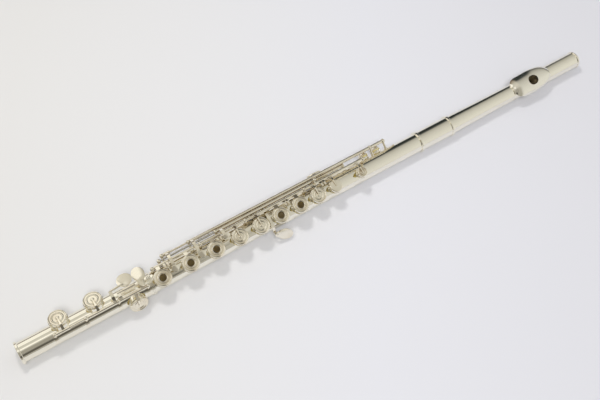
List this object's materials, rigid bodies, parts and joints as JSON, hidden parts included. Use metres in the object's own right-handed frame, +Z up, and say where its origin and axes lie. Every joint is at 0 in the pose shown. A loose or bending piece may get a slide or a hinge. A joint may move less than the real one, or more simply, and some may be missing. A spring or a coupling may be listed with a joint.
{
  "type": "concert flute",
  "caption": "Open-hole concert flute with a C foot, in-line keys, trill keys and a curved lip plate, lying ready to be picked up.",
  "frame": {"origin": "centre of the bore's open end at the foot, on the bore axis", "axes": "+X along the bore from the foot to the crown, +Z up from the surface the flute lies on, -Y the side the finger keys lean to"},
  "size_m": [0.6698, 0.0461, 0.0336],
  "materials": {
    "tube_silver": "polished silver plate",
    "key_silver": "polished silver plate",
    "lip_silver": "polished silver",
    "crown_silver": "polished silver plate",
    "steel_rod": "ground steel",
    "spring_steel": "blued steel",
    "pad_skin": "pale yellow bladder skin over felt",
    "felt": "brown felt",
    "cork": "sanded cork"
  },
  "bodies": {
    "body": {"body_tube": "tube_silver", "barrel": "tube_silver", "main_rib": "key_silver", "main_posts": "key_silver", "lever_posts": "key_silver", "trill_posts": "key_silver", "back_posts": "key_silver", "main_steels": "steel_rod", "lever_steel": "steel_rod", "back_steels": "steel_rod", "needle_springs": "spring_steel"},
    "foot_joint": {"foot_tube": "tube_silver", "foot_end_ring": "tube_silver", "foot_socket": "tube_silver", "foot_post_pads": "key_silver", "foot_posts": "key_silver"},
    "head_joint": {"head_tube": "tube_silver", "riser": "lip_silver", "lip_plate": "lip_silver"},
    "crown": {"crown": "crown_silver"},
    "stopper": {"stopper_screw": "tube_silver", "stopper_cork": "cork"},
    "low_c": {"low_c_key": "key_silver", "low_c_pad": "pad_skin"},
    "low_c_roller": {"low_c_roller": "key_silver"},
    "low_c_sharp": {"low_c_sharp_key": "key_silver", "low_c_sharp_pad": "pad_skin"},
    "low_d_sharp": {"low_d_sharp_key": "key_silver", "low_d_sharp_felt": "felt", "low_d_sharp_pad": "pad_skin"},
    "g_sharp_key": {"g_sharp_key": "key_silver", "g_sharp_pad": "pad_skin"},
    "thumb_key": {"thumb_key": "key_silver", "thumb_pad": "pad_skin"},
    "thumb_b_flat_lever": {"thumb_b_flat_lever": "key_silver"},
    "d_trill_key": {"d_trill_key": "key_silver", "d_trill_pad": "pad_skin"},
    "d_sharp_trill_key": {"d_sharp_trill_key": "key_silver", "d_sharp_trill_pad": "pad_skin"},
    "b_flat_lever": {"b_flat_lever": "key_silver"},
    "d_key": {"d_key": "key_silver", "d_pad": "pad_skin"},
    "e_key": {"e_key": "key_silver", "e_pad": "pad_skin"},
    "f_key": {"f_key": "key_silver", "f_pad": "pad_skin"},
    "f_sharp_key": {"f_sharp_key": "key_silver", "f_sharp_pad": "pad_skin"},
    "g_key": {"g_key": "key_silver", "g_pad": "pad_skin"},
    "a_key": {"a_key": "key_silver", "a_pad": "pad_skin"},
    "b_flat_key": {"b_flat_key": "key_silver", "b_flat_pad": "pad_skin"},
    "c_key": {"c_key": "key_silver", "c_pad": "pad_skin"}
  },
  "joints": [
    {"name": "foot_turn", "type": "hinge", "parent": "body", "child": "foot_joint", "pos_m": [0.1292, 0, 0], "axis": [1, 0, 0], "range_deg": [-30, 30]},
    {"name": "head_slide", "type": "slide", "parent": "body", "child": "head_joint", "axis": [1, 0, 0], "range_m": [0, 0.01]},
    {"name": "crown_turn", "type": "hinge", "parent": "head_joint", "child": "crown", "pos_m": [0.665, 0, 0], "axis": [1, 0, 0], "range_deg": [-720, 720]},
    {"name": "stopper_slide", "type": "slide", "parent": "head_joint", "child": "stopper", "axis": [1, 0, 0], "range_m": [-0.0015, 0.0015]},
    {"name": "low_c_press", "type": "hinge", "parent": "foot_joint", "child": "low_c", "pos_m": [0.06, -0.00661, 0.01503], "axis": [1, 0, 0], "range_deg": [-11.66, 0], "stiffness_Nm_per_rad": 0.033, "springref_deg": 17.19},
    {"name": "roller_spin", "type": "hinge", "parent": "low_c", "child": "low_c_roller", "pos_m": [0.1115, -0.00047, 0.0184], "axis": [1, 0, 0], "continuous": true},
    {"name": "low_c_sharp_press", "type": "hinge", "parent": "foot_joint", "child": "low_c_sharp", "pos_m": [0.08, -0.00661, 0.01503], "axis": [1, 0, 0], "range_deg": [-11.66, 0], "stiffness_Nm_per_rad": 0.033, "springref_deg": 17.19},
    {"name": "low_d_sharp_press", "type": "hinge", "parent": "foot_joint", "child": "low_d_sharp", "pos_m": [0.115, -0.00661, 0.01503], "axis": [1, 0, 0], "range_deg": [-8, 0], "stiffness_Nm_per_rad": 0.033, "springref_deg": 17.19},
    {"name": "d_press", "type": "hinge", "parent": "body", "child": "d_key", "pos_m": [0.15, 0.00582, 0.01551], "axis": [1, 0, 0], "range_deg": [0, 11.82], "stiffness_Nm_per_rad": 0.033, "springref_deg": -17.19},
    {"name": "e_press", "type": "hinge", "parent": "body", "child": "e_key", "pos_m": [0.17, 0.00582, 0.01551], "axis": [1, 0, 0], "range_deg": [0, 11.82], "stiffness_Nm_per_rad": 0.033, "springref_deg": -17.19},
    {"name": "f_press", "type": "hinge", "parent": "body", "child": "f_key", "pos_m": [0.2, 0.00582, 0.01551], "axis": [1, 0, 0], "range_deg": [0, 11.82], "stiffness_Nm_per_rad": 0.033, "springref_deg": -17.19},
    {"name": "f_sharp_press", "type": "hinge", "parent": "body", "child": "f_sharp_key", "pos_m": [0.226, 0.00582, 0.01551], "axis": [1, 0, 0], "range_deg": [0, 11.82], "stiffness_Nm_per_rad": 0.033, "springref_deg": -17.19},
    {"name": "g_press", "type": "hinge", "parent": "body", "child": "g_key", "pos_m": [0.262, 0.00582, 0.01551], "axis": [1, 0, 0], "range_deg": [0, 11.82], "stiffness_Nm_per_rad": 0.033, "springref_deg": -17.19},
    {"name": "a_press", "type": "hinge", "parent": "body", "child": "a_key", "pos_m": [0.295, 0.00582, 0.01551], "axis": [1, 0, 0], "range_deg": [0, 11.82], "stiffness_Nm_per_rad": 0.033, "springref_deg": -17.19},
    {"name": "b_flat_press", "type": "hinge", "parent": "body", "child": "b_flat_key", "pos_m": [0.317, 0.00582, 0.01551], "axis": [1, 0, 0], "range_deg": [0, 11.82], "stiffness_Nm_per_rad": 0.033, "springref_deg": -17.19},
    {"name": "c_press", "type": "hinge", "parent": "body", "child": "c_key", "pos_m": [0.35, 0.00582, 0.01551], "axis": [1, 0, 0], "range_deg": [0, 11.82], "stiffness_Nm_per_rad": 0.033, "springref_deg": -17.19},
    {"name": "g_sharp_press", "type": "hinge", "parent": "body", "child": "g_sharp_key", "pos_m": [0.255, 0.01243, 0.00932], "axis": [1, 0, 0], "range_deg": [0, 8], "stiffness_Nm_per_rad": 0.033, "springref_deg": -17.19},
    {"name": "thumb_press", "type": "hinge", "parent": "body", "child": "thumb_key", "pos_m": [0.33, 0.01243, 0.00932], "axis": [1, 0, 0], "range_deg": [-13.91, 0], "stiffness_Nm_per_rad": 0.033, "springref_deg": 17.19},
    {"name": "thumb_b_flat_press", "type": "hinge", "parent": "body", "child": "thumb_b_flat_lever", "pos_m": [0.352, 0.01243, 0.00932], "axis": [1, 0, 0], "range_deg": [-8, 0], "stiffness_Nm_per_rad": 0.033, "springref_deg": 17.19},
    {"name": "d_trill_press", "type": "hinge", "parent": "body", "child": "d_trill_key", "pos_m": [0.29, 0.01424, 0.0135], "axis": [1, 0, 0], "range_deg": [0, 8], "stiffness_Nm_per_rad": 0.033, "springref_deg": -17.19},
    {"name": "d_sharp_trill_press", "type": "hinge", "parent": "body", "child": "d_sharp_trill_key", "pos_m": [0.28, 0.01424, 0.0135], "axis": [1, 0, 0], "range_deg": [0, 8], "stiffness_Nm_per_rad": 0.033, "springref_deg": -17.19},
    {"name": "side_b_flat_press", "type": "hinge", "parent": "body", "child": "b_flat_lever", "pos_m": [0.26, 0.01012, 0.01477], "axis": [1, 0, 0], "range_deg": [0, 8], "stiffness_Nm_per_rad": 0.033, "springref_deg": -17.19}
  ],
  "couplings": [
    {"joint": "f_sharp_press", "follows": "f_press", "ratio": 1},
    {"joint": "b_flat_press", "follows": "a_press", "ratio": 1},
    {"joint": "crown_turn", "follows": "stopper_slide", "rad_per_m": -8377.6}
  ]
}
